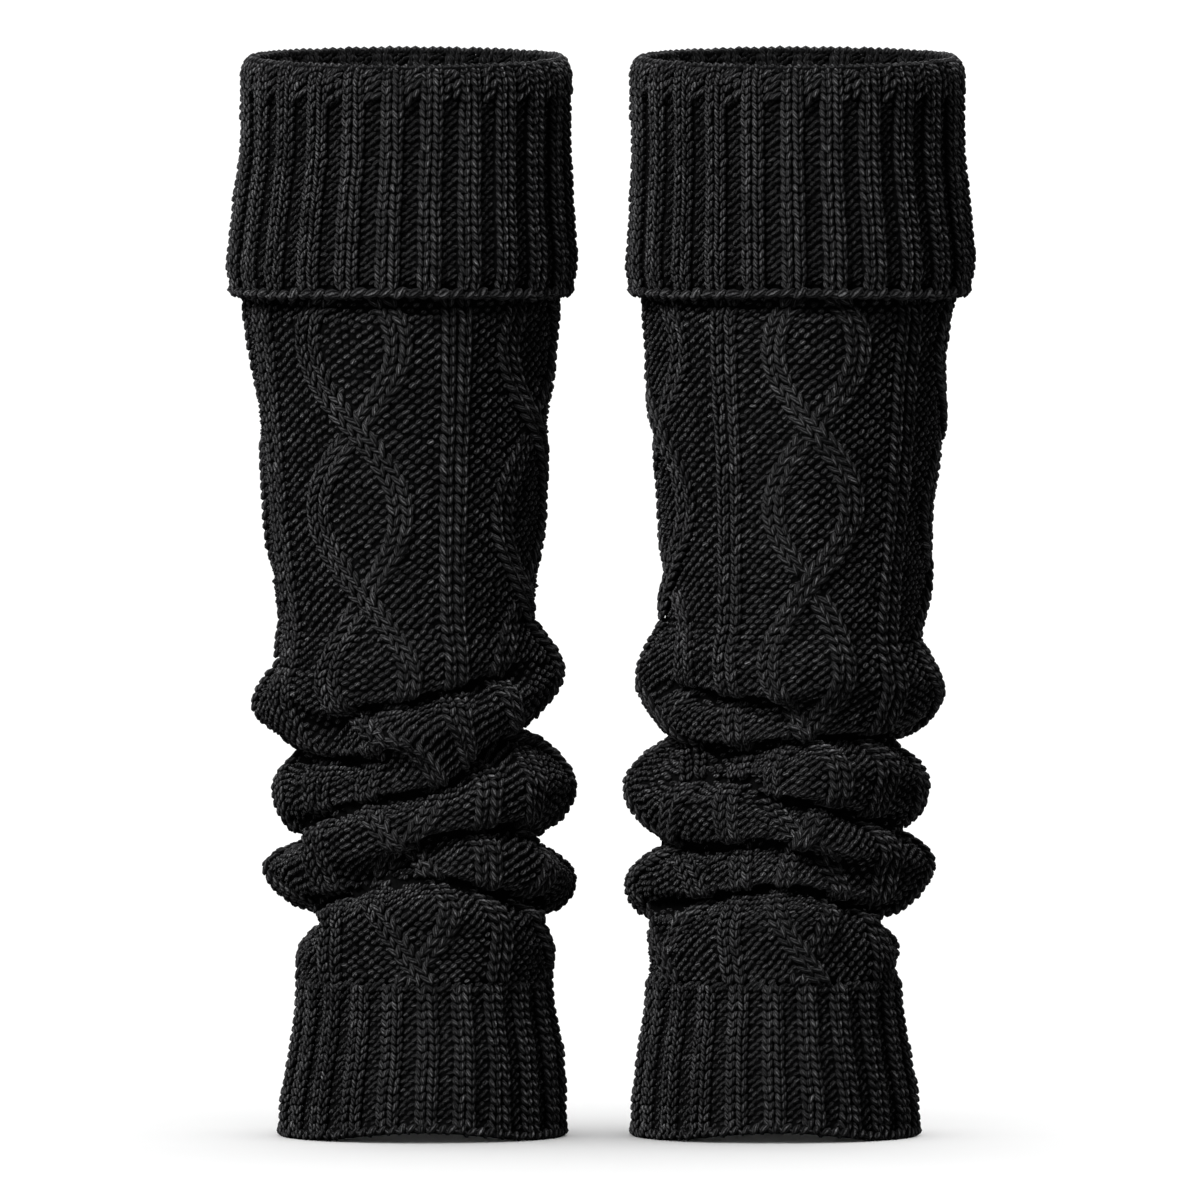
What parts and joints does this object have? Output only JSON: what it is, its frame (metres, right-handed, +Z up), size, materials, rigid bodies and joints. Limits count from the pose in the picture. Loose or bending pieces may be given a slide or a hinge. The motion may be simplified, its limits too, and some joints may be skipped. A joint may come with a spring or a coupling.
{
  "type": "pair of leg warmers",
  "caption": "Cable-knit wool leg warmers with folded ribbed cuffs, slouched ankle folds and flared ribbed hems, standing open side by side.",
  "frame": {"origin": "on the surface they stand on, midway between the two leg warmers", "axes": "+Z up, +X along the pair to the viewer's right, -Y towards the viewer and the front of both"},
  "size_m": [0.2832, 0.1264, 0.4067],
  "materials": {
    "rib_knit": "dull chunky wool in a two by two rib",
    "cable_knit": "dull chunky wool in crossed cables on a purl ground"
  },
  "bodies": {
    "root": {"left_cuff": "rib_knit", "left_body": "cable_knit", "left_hem": "rib_knit", "right_cuff": "rib_knit", "right_body": "cable_knit", "right_hem": "rib_knit"}
  },
  "joints": []
}
